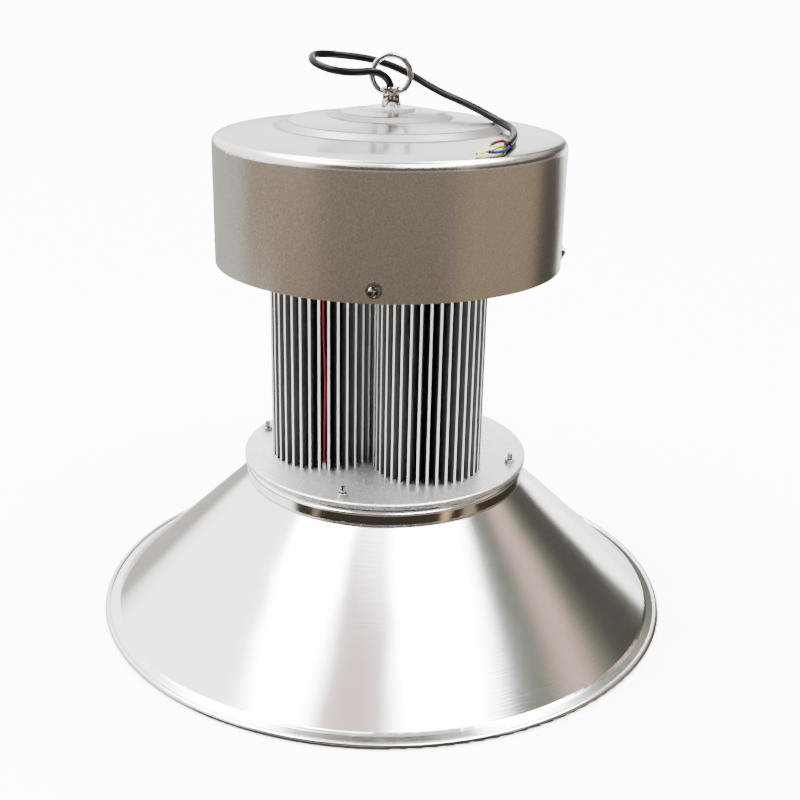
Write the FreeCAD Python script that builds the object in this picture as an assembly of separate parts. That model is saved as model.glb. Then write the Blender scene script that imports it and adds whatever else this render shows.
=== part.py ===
"""High bay light with three finned LED columns, a spun shade and a swinging hanger ring.

Millimetres, +Z up.  The origin is the centre of the shade's rim, on the floor that the
light stands on.  The front faces -Y, and angles round the axis run from -Y towards +X.
"""
import FreeCAD, Part
import math
import os

V = FreeCAD.Vector
UP = V(0, 0, 1)

# Shade: one spun sheet from the rolled rim, up the cone, to a collar and a top flange.
rim_radius = 242.5
rim_bead_radius = 2.5
shade_wall = 1.2
rim_flange_width = 11.5
rim_flange_rise = 1.9
rim_sheet_height = 3.3
rim_fold_bend = 6.0
shade_neck_radius = 116.0
shade_cone_top = 113.4
collar_bulge = 2.0
collar_height = 13.4
shade_top = 129.4
shade_flange_inner = 99.0

# LED plate: carries the heat sinks above and the LEDs below.
plate_radius = 119.5
plate_thickness = 4.6
plate_chamfer = 0.8
reflector_screw_inset = 10.5
reflector_screw_angle = -17.3
reflector_screw_count = 4

# Heat sinks: three round extrusions with straight fins.
sink_count = 3
sink_circle = 51.8
sink_angles = (-78.1, 41.9, 161.9)
sink_fin_start = (6.4, 8.8, 0.0)
sink_radius = 44.5
sink_core_radius = 17.0
sink_length = 168.0
fin_count = 36
fin_root_width = 1.5
fin_tip_width = 2.1
fin_tip_crown = 0.35
boss_circle = 36.0
boss_radius = 3.7
boss_headings = (61.4, 53.8, 35.0)
boss_count = 3

# LED leads: each climbs in the gap between two fins nearest to its heading.
red_headings = (1.4, 63.8, 175.0)
black_headings = (-8.6, 73.8, 185.0)
lead_radius = 1.25
red_reach = 39.5
black_reach = 37.0
lead_slot_depth = 2.8
lead_slot_play = 0.15
lead_bend = 3.0
lead_bows = (0.95, -0.6)
lead_bow_bend = 600.0
bushing_wall = 0.55
bushing_rise = 5.0
bushing_taper = 0.35
grommet_wall = 1.0
grommet_lip = 1.0
grommet_lip_thickness = 1.2
grip_gap = 0.02

# LEDs under the plate.
led_width = 28.0
led_thickness = 1.6
pad_thickness = 0.3
emitter_radius = 10.5
emitter_thickness = 0.6
seal_outer = 26.6
seal_inner = 24.0
seal_height = 5.0
lens_radius = 26.4
lens_flange = 2.5
lens_dome_radius = 23.2
lens_dome_height = 12.5
lens_wall = 3.0
ring_gap = 0.4
ring_wall = 1.8
ring_lip = 1.6
ring_lip_inner = 23.8
ring_ear_circle = 32.1
ring_ear_radius = 3.4
ring_ear_thickness = 2.4
ring_ear_turn = -30.0

# Driver housing: a flat tray under a spun cover with a stepped, domed top.
cover_radius = 139.2
cover_wall = 1.2
cover_overhang = 2.9
cover_height = 118.4
cover_shoulder_drop = 19.75
cover_shoulder_bend = 7.5
tray_wall = 1.5
tray_clearance = 0.4
tray_flange_height = 18.0
tray_bend = 2.5
cover_screw_rise = 7.0
cover_screw_angle = -4.0
cover_screw_count = 4
cover_washer_radius = 6.0
cover_washer_thickness = 1.0
# Corners of the cover's top outside the hub: radius, drop below the hub and bend.
cover_dome = [(126.0, 16.5, 60.0), (90.0, 12.7, 7.0), (80.5, 8.1, 7.0), (49.0, 5.1, 7.0), (40.0, 1.5, 7.0)]
cover_hub_radius = 24.0
cover_hub_bend = 12.0

# Drivers stand on the tray on their end feet.
driver_width = 50.0
driver_length = 100.0
driver_height = 32.0
driver_stand = 4.0
driver_foot = 9.0
driver_foot_thickness = 2.0
driver_foot_inset = 5.0
driver_leg = 3.0
driver_corner = 3.0
driver_pitch = 56.0
driver_rear = 65.0

# Hanger: a hollow cast fitting with a threaded stud, and an open ring held in its two lugs.
washer_radius = 19.2
washer_thickness = 2.0
stud_radius = 4.9
cord_bore_radius = 3.7
fitting_flats = 15.0
fitting_base_height = 3.6
fitting_neck_radius = 7.1
fitting_tube_radius = 6.8
lug_half_width = 7.2
lug_radius = 3.5
pivot_rise = 13.7
ring_wire_radius = 2.2
ring_radius = 14.7
ring_centre_rise = 12.2
ring_bend = 2.6
ring_pin_end = 4.4
pin_clearance = 0.06
stud_length = 20.0
hanger_nut_flats = 14.0
hanger_nut_height = 4.0
inner_washer_radius = 14.4

# Fasteners.
m4 = 2.0
m3 = 1.5
screw_play = 0.15
fine_thread_gap = 0.08

# Mains cord: radius and hand-chosen route, from inside the housing to the cut end.
# Heights in all routes are those of the underside, measured from the top of the cover's hub.
cord_radius = 3.0
core_radius = 1.0
core_circle = 1.35
core_lead_out = 3.5
cord_route = [
    (0.3, 0.4, -32.5), (0.1, 0.1, -15.5), (0.1, 0.0, 1.5), (0.0, -0.4, 17.9),
    (-11.0, -8.0, 26.5), (-28.5, -12.0, 25.0), (-46.0, -12.0, 26.5),
    (-62.0, 5.5, 31.0), (-62.5, 31.0, 35.5), (-44.0, 50.0, 33.5),
    (-16.0, 54.0, 30.5), (11.0, 49.0, 22.0), (37.0, 33.0, 8.0),
    (61.0, 12.0, 0.5), (82.0, -4.0, -8.8), (92.5, -28.0, -12.2),
    (92.0, -53.0, -13.5), (89.0, -75.0, -15.0), (83.5, -92.0, -16.1),
]
# The stripped cores beyond the sheath's end, each after its start in the end's face.
brown_route = [(80.8, -99.0, -9.9), (76.0, -103.0, -9.3), (71.5, -105.5, -10.9), (69.0, -107.0, -13.1)]
yellow_green_route = [(77.6, -98.6, -13.5), (73.0, -105.0, -14.5), (67.0, -110.5, -15.6), (59.5, -116.0, -16.6)]
blue_route = [(81.6, -101.2, -15.9), (77.0, -107.0, -16.3), (71.5, -110.0, -16.3), (67.0, -113.0, -15.3)]
# The same cores inside the housing, from the clamp down to the terminal block.
feed_brown_route = [(-5.0, -10.0, -47.5), (-11.0, -34.0, -65.5), (-14.0, -52.0, -88.5)]
feed_blue_route = [(1.0, -14.0, -48.5), (0.3, -38.0, -67.5), (0.0, -53.0, -88.5)]
feed_earth_route = [(6.5, -8.0, -46.5), (12.0, -32.0, -64.5), (14.0, -52.0, -88.5)]

# Inside fittings of the supply.
clamp_radius = 7.5
clamp_height = 7.0
block_length = 58.0
block_depth = 22.0
block_height = 17.0
block_front = -88.0
block_pitch = 14.0
feed_approach = 8.0
block_tower = 12.0
block_base = 4.0
block_screw_inset = 4.0
block_bore_radius = 2.4
block_bore_depth = 6.0

# Levels and radii that follow from the sizes above.
plate_bottom = shade_top
plate_top = plate_bottom + plate_thickness
reflector_screw_circle = plate_radius - reflector_screw_inset
sink_top = plate_top + sink_length
tray_top = sink_top + tray_wall
cover_bottom = sink_top - cover_overhang
cover_hub_height = cover_bottom + cover_height
cover_screw_height = sink_top + cover_screw_rise
cover_inner = cover_radius - cover_wall
tray_radius = cover_inner - tray_clearance
washer_top = cover_hub_height + washer_thickness
pivot_height = cover_hub_height + pivot_rise
ring_centre_height = pivot_height + ring_centre_rise
driver_bottom = tray_top + driver_stand
driver_top = driver_bottom + driver_height


def polar(radius, angle, height=0.0):
    """Point at a radius and an angle in degrees from the front (-Y) towards +X."""
    a = math.radians(angle)
    return V(radius * math.sin(a), -radius * math.cos(a), height)


def outward(angle):
    """Unit vector away from the axis at an angle."""
    return polar(1.0, angle)


def cylinder(radius, height, base, axis=UP):
    return Part.makeCylinder(radius, height, base, axis)


def tube(outer, inner, height, base, axis=UP):
    return cylinder(outer, height, base, axis).cut(cylinder(inner, height, base, axis))


def box(size_x, size_y, size_z, centre_x, centre_y, bottom):
    corner = V(centre_x - size_x / 2, centre_y - size_y / 2, bottom)
    return Part.makeBox(size_x, size_y, size_z, corner)


def bend_points(before, corner, after, radius):
    """Start, middle and end of the arc of this radius in the corner between two lines."""
    to_before = (before - corner).normalize()
    to_after = (after - corner).normalize()
    half = to_before.getAngle(to_after) / 2
    reach = radius / math.tan(half)
    to_centre = (to_before + to_after).normalize()
    centre = corner + to_centre * (radius / math.sin(half))
    return corner + to_before * reach, centre - to_centre * radius, corner + to_after * reach


def rounded_path(points, bends):
    """Edges along straight runs whose inner corners are rounded by the bend radii."""
    edges = []
    last = points[0]
    for before, corner, after, radius in zip(points, points[1:], points[2:], bends):
        if radius > 0:
            start, middle, end = bend_points(before, corner, after, radius)
        else:
            start, middle, end = corner, None, corner
        edges.append(Part.LineSegment(last, start).toShape())
        if middle is not None:
            edges.append(Part.Arc(start, middle, end).toShape())
        last = end
    edges.append(Part.LineSegment(last, points[-1]).toShape())
    return edges


def offset_line(points, distance):
    """The same run of lines moved to its left by a distance, with mitred corners."""
    moved = []
    for i, point in enumerate(points):
        normals = []
        if i > 0:
            step = (point - points[i - 1]).normalize()
            normals.append(V(-step.z, 0, step.x))
        if i < len(points) - 1:
            step = (points[i + 1] - point).normalize()
            normals.append(V(-step.z, 0, step.x))
        total = sum(normals, V(0, 0, 0))
        scale = len(normals) / total.Length ** 2 if len(normals) > 1 else 1.0
        moved.append(point + total * (distance * scale))
    return moved


def sheet_section(profile, wall):
    """Section of a spun sheet: profile rows are (radius, height, bend) on the outside surface.

    The wall lies to the left of the direction of travel, and both faces of a bend share
    one centre.
    """
    outside = [V(r, 0, z) for r, z, _ in profile]
    bends = [bend for _, _, bend in profile[1:-1]]
    inside = offset_line(outside, wall)
    inner_bends = []
    for before, corner, after, bend in zip(outside, outside[1:], outside[2:], bends):
        turn = (corner - before).cross(after - corner).y
        inner_bends.append(bend + wall if turn > 0 else bend - wall)
    edges = rounded_path(outside, bends)
    edges.append(Part.LineSegment(outside[-1], inside[-1]).toShape())
    edges += rounded_path(inside[::-1], inner_bends[::-1])
    edges.append(Part.LineSegment(inside[0], outside[0]).toShape())
    return Part.Face(Part.Wire(Part.__sortEdges__(edges)))


def spun(section):
    """Solid made by turning a section once round the Z axis."""
    return section.revolve(V(0, 0, 0), UP, 360)


def turned(outline, base=V(0, 0, 0), axis=UP):
    """Solid of revolution with straight sides: outline rows are (radius, height)."""
    points = [V(r, 0, z) for r, z in outline]
    return placed(spun(Part.Face(Part.makePolygon(points + points[:1]))), base, axis)


def placed(shape, base, axis=UP):
    """Move a shape built on +Z to a base point, with +Z turned to the axis."""
    moved = shape.copy()
    moved.Placement = FreeCAD.Placement(base, FreeCAD.Rotation(UP, axis))
    return moved


def cap_arc(radius, height, rise):
    """Arc of a ball's cap: from its rim to its top on the axis, or to its bottom for a negative rise."""
    ball = (radius ** 2 + rise ** 2) / (2 * abs(rise))
    middle = radius * 0.6
    climb = abs(rise) - ball + math.sqrt(ball ** 2 - middle ** 2)
    step = math.copysign(climb, rise)
    return Part.Arc(V(radius, 0, height), V(middle, 0, height + step), V(0, 0, height + rise)).toShape()


def pan_screw(shank, length, base, axis):
    """Pan-head screw: the head's underside is at the base, and the shank points against the axis."""
    head_radius = shank * 1.95
    head_height = shank * 1.25
    crown = head_height * 0.45
    side = head_height - crown
    outline = [
        Part.LineSegment(V(0, 0, -length), V(shank, 0, -length)).toShape(),
        Part.LineSegment(V(shank, 0, -length), V(shank, 0, 0)).toShape(),
        Part.LineSegment(V(shank, 0, 0), V(head_radius, 0, 0)).toShape(),
        Part.LineSegment(V(head_radius, 0, 0), V(head_radius, 0, side)).toShape(),
        cap_arc(head_radius, side, crown),
        Part.LineSegment(V(0, 0, head_height), V(0, 0, -length)).toShape(),
    ]
    body = spun(Part.Face(Part.Wire(outline)))
    blade = shank * 1.9
    width = shank * 0.4
    depth = head_height * 0.55
    for size_x, size_y in ((blade, width), (width, blade)):
        body = body.cut(box(size_x, size_y, depth, 0, 0, head_height - depth))
    return placed(body, base, axis)


def hexagon(flats, height, bottom, turn):
    """Upright hexagonal bar on the Z axis, by its width over the flats and the turn of a corner."""
    corner = flats / math.sqrt(3)
    ring = [polar(corner, turn + 90 + 60 * k, bottom) for k in range(7)]
    return Part.Face(Part.makePolygon(ring)).extrude(V(0, 0, height))


def hex_nut(thread, base, axis):
    """Hexagon nut whose seat is at the base, with its corners turned down."""
    across = thread * 3.5
    height = thread * 1.6
    corner = across / math.sqrt(3)
    cone = turned([(0, 0), (corner + 1, 0), (corner + 1, height - 1 - corner * 0.12),
                   (across / 2, height), (0, height)])
    body = hexagon(across, height, 0, 0).common(cone)
    body = body.cut(cylinder(thread + fine_thread_gap, height, V(0, 0, 0)))
    return placed(body, base, axis)


def stadium(length, radius, height, base, angle):
    """Upright block with round ends, its long way pointing out at the angle."""
    half = outward(angle) * (length / 2)
    side = UP.cross(outward(angle)) * radius
    bar = Part.Face(Part.makePolygon([
        base + half + side, base - half + side, base - half - side, base + half - side,
        base + half + side])).extrude(V(0, 0, height))
    ends = [cylinder(radius, height, base + half), cylinder(radius, height, base - half)]
    return bar.multiFuse(ends).removeSplitter()


def round_pipe(points, bends, radius):
    """Round rod or cord that follows straight runs joined by tangent arcs."""
    path = Part.Wire(rounded_path(points, bends))
    start = (points[1] - points[0]).normalize()
    ring = Part.Wire(Part.Circle(points[0], start, radius).toShape())
    return path.makePipeShell([ring], True, False)


# ---------------------------------------------------------------- positions

def sink_centre(i, height=0.0):
    return polar(sink_circle, sink_angles[i], height)


def fin_angle(i, index):
    """Direction of a fin of sink i; a half index is the gap after that fin."""
    return sink_fin_start[i] + index * 360.0 / fin_count


def gap_near(i, heading):
    """Direction of the gap between two fins of sink i that is nearest to a heading."""
    index = round((heading - sink_fin_start[i]) * fin_count / 360.0 - 0.5)
    return fin_angle(i, index + 0.5)


def sink_point(i, radius, angle, height=0.0):
    return sink_centre(i) + polar(radius, angle, height)


def lead_places(i):
    """Gap direction and climbing radius of the red and the black lead of sink i."""
    return [(gap_near(i, red_headings[i]), red_reach), (gap_near(i, black_headings[i]), black_reach)]


def boss_directions(i):
    """Directions of the screw bosses of sink i, the first in the gap nearest to its heading."""
    return [gap_near(i, boss_headings[i]) + 360.0 * k / boss_count for k in range(boss_count)]


def boss_points(i, height):
    return [sink_point(i, boss_circle, angle, height) for angle in boss_directions(i)]


def reflector_screw_points(height):
    return [polar(reflector_screw_circle, reflector_screw_angle + 360.0 * k / reflector_screw_count, height)
            for k in range(reflector_screw_count)]


def cover_screw_directions():
    return [cover_screw_angle + 360.0 * k / cover_screw_count for k in range(cover_screw_count)]


def ear_points(i, height):
    """The lens ring's ears, turned away from the sink's screws."""
    return [sink_point(i, ring_ear_circle, angle + ring_ear_turn, height) for angle in boss_directions(i)]


def driver_places():
    """Centre X, middle Y and the direction in Y of the output end of each driver."""
    middle = driver_rear - driver_length / 2
    return [(-driver_pitch, middle, -1), (driver_pitch, middle, -1), (0.0, middle, 1)]


def driver_foot_points(i, height):
    x, y, _ = driver_places()[i]
    reach = driver_length / 2 + driver_foot / 2
    return [V(x, y - reach, height), V(x, y + reach, height)]


# ---------------------------------------------------------------- shade and plate

def reflector():
    """Spun shade with a rolled bead at its rim and holes for the plate's screws."""
    fold_radius = rim_radius - rim_flange_width
    fold_height = rim_sheet_height + rim_flange_rise
    bead_centre = rim_radius - rim_bead_radius
    collar_radius = shade_neck_radius + collar_bulge
    ramp = collar_bulge * 1.1
    groove_top = shade_cone_top + collar_height
    profile = [
        (bead_centre, rim_sheet_height, 0),
        (fold_radius, fold_height, rim_fold_bend),
        (shade_neck_radius, shade_cone_top, 0.8),
        (collar_radius, shade_cone_top + ramp, 2.6),
        (collar_radius, groove_top - ramp, 2.6),
        (shade_neck_radius, groove_top, 0.6),
        (shade_neck_radius, shade_top, 1.6),
        (shade_flange_inner, shade_top, 0),
    ]
    bead_ring = Part.Circle(V(bead_centre, 0, rim_bead_radius), V(0, -1, 0), rim_bead_radius)
    bead = Part.Face(Part.Wire(bead_ring.toShape()))
    section = sheet_section(profile, shade_wall).fuse(bead).removeSplitter()
    shape = spun(section.Faces[0])
    for point in reflector_screw_points(shade_top - shade_wall):
        shape = shape.cut(cylinder(m4 + screw_play, shade_wall, point))
    return shape


def lead_slot(i, angle, reach):
    """Groove under the plate for one lead, with an upright hole at its outer end."""
    radius = lead_radius + lead_slot_play
    inner = led_width / 2 + 2.5
    groove = stadium(reach - inner, radius, lead_slot_depth,
                     sink_point(i, (reach + inner) / 2, angle, plate_bottom), angle)
    hole = cylinder(lead_radius + bushing_wall, plate_thickness - lead_slot_depth,
                    sink_point(i, reach, angle, plate_bottom + lead_slot_depth))
    return groove.fuse(hole)


def led_plate():
    shape = turned([(0, plate_bottom), (plate_radius - plate_chamfer / 2, plate_bottom),
                    (plate_radius, plate_bottom + plate_chamfer / 2),
                    (plate_radius, plate_top - plate_chamfer),
                    (plate_radius - plate_chamfer, plate_top), (0, plate_top)])
    cuts = [cylinder(m4 + screw_play, plate_thickness, p) for p in reflector_screw_points(plate_bottom)]
    for i in range(sink_count):
        cuts += [cylinder(m4 + screw_play, plate_thickness, p) for p in boss_points(i, plate_bottom)]
        cuts += [cylinder(m3 + fine_thread_gap, plate_thickness, p) for p in ear_points(i, plate_bottom)]
        cuts += [lead_slot(i, angle, reach) for angle, reach in lead_places(i)]
    return shape.cut(Part.makeCompound(cuts))


def heat_sink(i):
    """Round extrusion: a solid core, straight fins with crowned tips and three screw bosses."""
    centre = sink_centre(i, plate_top)
    edges = []
    corners = []
    for k in range(fin_count):
        angle = fin_angle(i, k)
        radial = outward(angle)
        side = UP.cross(radial)
        root = math.sqrt(sink_core_radius ** 2 - (fin_root_width / 2) ** 2)
        tip = sink_radius - fin_tip_crown
        corners.append((centre + radial * root - side * (fin_root_width / 2),
                        centre + radial * tip - side * (fin_tip_width / 2),
                        centre + radial * sink_radius,
                        centre + radial * tip + side * (fin_tip_width / 2),
                        centre + radial * root + side * (fin_root_width / 2)))
    for k in range(fin_count):
        root_in, tip_in, crown, tip_out, root_out = corners[k]
        edges.append(Part.LineSegment(root_in, tip_in).toShape())
        edges.append(Part.Arc(tip_in, crown, tip_out).toShape())
        edges.append(Part.LineSegment(tip_out, root_out).toShape())
        edges.append(Part.LineSegment(root_out, corners[(k + 1) % fin_count][0]).toShape())
    shape = Part.Face(Part.Wire(edges)).extrude(V(0, 0, sink_length))
    bosses = [cylinder(boss_radius, sink_length, p) for p in boss_points(i, plate_top)]
    shape = shape.multiFuse(bosses)
    bores = [cylinder(m4 + fine_thread_gap, sink_length, p) for p in boss_points(i, plate_top)]
    return shape.cut(Part.makeCompound(bores))


# ---------------------------------------------------------------- LEDs under the plate

def led_base(i, depth, thickness):
    """Square block under the plate, square to the lead slot."""
    block = box(led_width, led_width, thickness, 0, 0, 0)
    red, black = lead_places(i)
    block.rotate(V(0, 0, 0), UP, (red[0] + black[0]) / 2)
    block.translate(sink_centre(i, plate_bottom - depth - thickness))
    return block


def thermal_pad(i):
    return led_base(i, 0.0, pad_thickness)


def led_module(i):
    return led_base(i, pad_thickness, led_thickness)


def led_emitter(i):
    top = plate_bottom - pad_thickness - led_thickness
    return cylinder(emitter_radius, emitter_thickness, sink_centre(i, top - emitter_thickness))


def lens_seal(i):
    return tube(seal_outer, seal_inner, seal_height, sink_centre(i, plate_bottom - seal_height))


def led_lens(i):
    """Moulded glass dome with a flat flange, hollow behind."""
    flange_top = plate_bottom - seal_height
    dome = flange_top - lens_flange
    tip = dome - lens_dome_height
    inner = lens_dome_radius - lens_wall
    inner_tip = tip + lens_wall

    points = [V(inner, 0, dome), V(inner, 0, flange_top), V(lens_radius, 0, flange_top),
              V(lens_radius, 0, dome), V(lens_dome_radius, 0, dome)]
    edges = [Part.LineSegment(a, b).toShape() for a, b in zip(points, points[1:])]
    edges += [cap_arc(lens_dome_radius, dome, tip - dome),
              Part.LineSegment(V(0, 0, tip), V(0, 0, inner_tip)).toShape(),
              cap_arc(inner, dome, inner_tip - dome)]
    return placed(spun(Part.Face(Part.Wire(Part.__sortEdges__(edges)))), sink_centre(i))


def lens_ring(i):
    """Retaining ring: a wall round the seal, a lip under the lens and three ears."""
    inner = seal_outer + ring_gap
    outer = inner + ring_wall
    lip_top = plate_bottom - seal_height - lens_flange
    bottom = lip_top - ring_lip
    shape = turned([(inner, plate_bottom), (outer, plate_bottom), (outer, bottom),
                    (ring_lip_inner, bottom), (ring_lip_inner, lip_top), (inner, lip_top)],
                   sink_centre(i))
    ear_bottom = plate_bottom - ring_ear_thickness
    for hole in ear_points(i, ear_bottom):
        axis = hole - sink_centre(i, ear_bottom)
        angle = math.degrees(math.atan2(axis.x, -axis.y))
        length = ring_ear_circle - inner - ring_wall / 2
        ear = stadium(length, ring_ear_radius, ring_ear_thickness,
                      sink_point(i, ring_ear_circle - length / 2, angle, ear_bottom), angle)
        ear = ear.cut(cylinder(inner + ring_wall / 2, ring_ear_thickness, sink_centre(i, ear_bottom)))
        shape = shape.fuse(ear)
    for hole in ear_points(i, ear_bottom):
        shape = shape.cut(cylinder(m3 + screw_play, ring_ear_thickness, hole))
    return shape.removeSplitter()


# ---------------------------------------------------------------- leads

def lead(i, which, rise):
    """From the LED, along the groove, up between the fins with a slight bow, and over to the driver."""
    angle, reach = lead_places(i)[which]
    side = UP.cross(outward(angle)) * lead_bows[which]
    groove = plate_bottom + lead_slot_depth - lead_radius - lead_slot_play
    pad = plate_bottom - lead_radius - 0.05
    top = driver_bottom + rise
    climb = sink_point(i, reach, angle)
    driver_x, driver_y, end = driver_places()[i]
    points = [sink_point(i, led_width / 2 + 0.9, angle, pad),
              sink_point(i, led_width / 2 + 3.2, angle, pad),
              sink_point(i, led_width / 2 + 7.2, angle, groove),
              V(climb.x, climb.y, groove),
              climb + V(0, 0, plate_top + sink_length * 0.1),
              climb + V(0, 0, plate_top + sink_length * 0.48) + side,
              climb + V(0, 0, plate_top + sink_length * 0.76) - side,
              climb + V(0, 0, plate_top + sink_length * 0.96),
              V(climb.x, climb.y, top),
              V(climb.x, driver_y + end * driver_length / 2, top)]
    tight = lead_radius * 1.04
    bends = [2.0, 2.0, tight] + [lead_bow_bend] * 3 + [lead_bow_bend / 2, lead_bend]
    return round_pipe(points, bends, lead_radius)


def lead_red(i):
    return lead(i, 0, 14.0)


def lead_black(i):
    return lead(i, 1, 9.0)


def lead_bushings():
    """Nylon bushings in the plate that guide the leads into the gaps between the fins."""
    bushings = []
    for i in range(sink_count):
        for angle, reach in lead_places(i):
            bottom = sink_point(i, reach, angle, plate_bottom + lead_slot_depth)
            seat = plate_thickness - lead_slot_depth
            outer = lead_radius + bushing_wall
            body = turned([(0, 0), (outer, 0), (outer, seat), (outer - bushing_taper, seat + bushing_rise),
                           (0, seat + bushing_rise)], bottom)
            bushings.append(body.cut(cylinder(lead_radius + grip_gap, seat + bushing_rise, bottom)))
    return Part.makeCompound(bushings)


def tray_grommets():
    """Rubber grommets that line the tray's holes round the leads."""
    grommets = []
    for i in range(sink_count):
        for angle, reach in lead_places(i):
            low = sink_point(i, reach, angle, sink_top)
            body = cylinder(lead_radius + grommet_wall, tray_wall, low)
            lip = cylinder(lead_radius + grommet_wall + grommet_lip, grommet_lip_thickness,
                           low + V(0, 0, tray_wall))
            bore = cylinder(lead_radius + grip_gap, tray_wall + grommet_lip_thickness, low)
            grommets.append(body.fuse(lip).cut(bore))
    return Part.makeCompound(grommets)


# ---------------------------------------------------------------- driver housing

def cover_profile():
    """Outside of the cover: bottom edge, side, rounded shoulder and a dome with two steps."""
    shoulder = cover_hub_height - cover_shoulder_drop
    side = [(cover_radius, cover_bottom, 0), (cover_radius, shoulder, cover_shoulder_bend)]
    steps = [(radius, cover_hub_height - drop, bend) for radius, drop, bend in cover_dome]
    hub = [(cover_hub_radius, cover_hub_height, cover_hub_bend), (stud_radius + screw_play, cover_hub_height, 0)]
    return side + steps + hub


def driver_cover():
    shape = spun(sheet_section(cover_profile(), cover_wall))
    for angle in cover_screw_directions():
        hole = cylinder(m4 + screw_play, 3 * cover_wall,
                        polar(cover_inner - cover_wall, angle, cover_screw_height), outward(angle))
        shape = shape.cut(hole)
    return shape


def driver_tray():
    profile = [
        (tray_radius, tray_top + tray_flange_height - tray_wall, 0),
        (tray_radius, sink_top, tray_bend),
        (0.0, sink_top, 0),
    ]
    outside = [V(r, 0, z) for r, z, _ in profile]
    inner = tray_radius - tray_wall
    edges = rounded_path(outside, [tray_bend])
    inside = [V(0, 0, tray_top), V(inner, 0, tray_top), V(inner, 0, outside[0].z)]
    edges.append(Part.LineSegment(outside[-1], inside[0]).toShape())
    edges += rounded_path(inside, [tray_bend - tray_wall])
    edges.append(Part.LineSegment(inside[-1], outside[0]).toShape())
    shape = spun(Part.Face(Part.Wire(Part.__sortEdges__(edges))))
    cuts = []
    for angle in cover_screw_directions():
        start = polar(inner - tray_wall, angle, cover_screw_height)
        cuts.append(cylinder(m4 + screw_play, 4 * tray_wall, start, outward(angle)))
    cuts += [cylinder(m3 + fine_thread_gap, tray_wall, p) for p in block_screw_points(sink_top)]
    for i in range(sink_count):
        cuts += [cylinder(m4 + screw_play, tray_wall, p) for p in boss_points(i, sink_top)]
        cuts += [cylinder(m4 + fine_thread_gap, tray_wall, p) for p in driver_foot_points(i, sink_top)]
        cuts += [cylinder(lead_radius + grommet_wall, tray_wall, sink_point(i, reach, angle, sink_top))
                 for angle, reach in lead_places(i)]
    return shape.cut(Part.makeCompound(cuts))


def driver(i):
    """Sealed constant-current driver: a ribbed case on two end feet."""
    x, y, _ = driver_places()[i]
    case = box(driver_width, driver_length, driver_height, x, y, driver_bottom)
    upright = [e for e in case.Edges if abs(e.tangentAt(e.FirstParameter).z) > 0.9]
    case = case.makeFillet(driver_corner, upright)
    leg_height = driver_stand + driver_foot_thickness
    foot_width = driver_width - 2 * driver_foot_inset
    feet = []
    for point in driver_foot_points(i, tray_top):
        leg = point.y + math.copysign((driver_foot + driver_leg) / 2, y - point.y)
        feet.append(box(foot_width, driver_foot, driver_foot_thickness, x, point.y, tray_top))
        feet.append(box(foot_width, driver_leg, leg_height, x, leg, tray_top))
    shape = case.multiFuse(feet).removeSplitter()
    holes = [cylinder(m4 + screw_play, driver_foot_thickness, p) for p in driver_foot_points(i, tray_top)]
    return shape.cut(Part.makeCompound(holes))


# ---------------------------------------------------------------- hanger

def hanger_body():
    """Hollow cast fitting: threaded stud, hexagon base, neck, and a head with two lugs."""
    base_top = washer_top + fitting_base_height
    corner = fitting_flats / math.sqrt(3)
    turned_down = turned([(0, washer_top), (corner + 1, washer_top), (corner + 1, base_top - 1.6),
                          (corner - 1.1, base_top), (0, base_top)])
    base = hexagon(fitting_flats, fitting_base_height, washer_top, 30).common(turned_down)
    head_top = pivot_height + lug_radius
    neck = turned([(0, base_top - 1), (fitting_neck_radius, base_top - 1),
                   (fitting_neck_radius, base_top + 1.0),
                   (fitting_tube_radius, base_top + 2.0),
                   (fitting_tube_radius, head_top - 0.6), (fitting_tube_radius - 0.6, head_top),
                   (0, head_top)])
    lugs = cylinder(lug_radius, 2 * lug_half_width, V(-lug_half_width, 0, pivot_height), V(1, 0, 0))
    rims = [e for e in lugs.Edges if isinstance(e.Curve, Part.Circle)]
    lugs = lugs.makeFillet(0.8, rims)
    stud = cylinder(stud_radius, stud_length + 1.0, V(0, 0, washer_top - stud_length))
    shape = base.multiFuse([neck, lugs, stud]).removeSplitter()
    pin_hole = lug_half_width - ring_pin_end + 0.3
    for side in (-1, 1):
        start = V(side * (ring_pin_end - 0.3), 0, pivot_height)
        shape = shape.cut(cylinder(ring_wire_radius + pin_clearance, pin_hole + 1.0, start, V(side, 0, 0)))
    bore = cylinder(cord_bore_radius, 80.0, V(0, 0, washer_top - stud_length - 10.0))
    mouth = Part.makeCone(cord_bore_radius, cord_bore_radius + 1.2, 2.0, V(0, 0, head_top - 2.0))
    return shape.cut(bore).cut(mouth)


def hanger_ring():
    """Open ring of round wire whose ends turn in to make the two hinge pins."""
    drop = ring_centre_rise - ring_bend
    bend_x = math.sqrt((ring_radius - ring_bend) ** 2 - drop ** 2)
    centre = V(0, 0, ring_centre_height)
    bend_centre = V(bend_x, 0, pivot_height + ring_bend)
    away = (bend_centre - centre).normalize()
    join = centre + away * ring_radius
    sweep = math.atan2(away.x, -away.z)
    middle = bend_centre + V(math.sin(sweep / 2), 0, -math.cos(sweep / 2)) * ring_bend

    def mirrored(point):
        return V(-point.x, point.y, point.z)

    start = V(ring_pin_end, 0, pivot_height)
    low = V(bend_x, 0, pivot_height)
    top = centre + V(0, 0, ring_radius)
    path = Part.Wire([
        Part.LineSegment(start, low).toShape(),
        Part.Arc(low, middle, join).toShape(),
        Part.Arc(join, top, mirrored(join)).toShape(),
        Part.Arc(mirrored(join), mirrored(middle), mirrored(low)).toShape(),
        Part.LineSegment(mirrored(low), mirrored(start)).toShape(),
    ])
    section = Part.Wire(Part.Circle(start, V(1, 0, 0), ring_wire_radius).toShape())
    return path.makePipeShell([section], True, False)


def top_washer():
    base = V(0, 0, cover_hub_height)
    return tube(washer_radius, stud_radius + screw_play, washer_thickness, base)


def inner_washer():
    base = V(0, 0, cover_hub_height - cover_wall - washer_thickness)
    return tube(inner_washer_radius, stud_radius + screw_play, washer_thickness, base)


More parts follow.
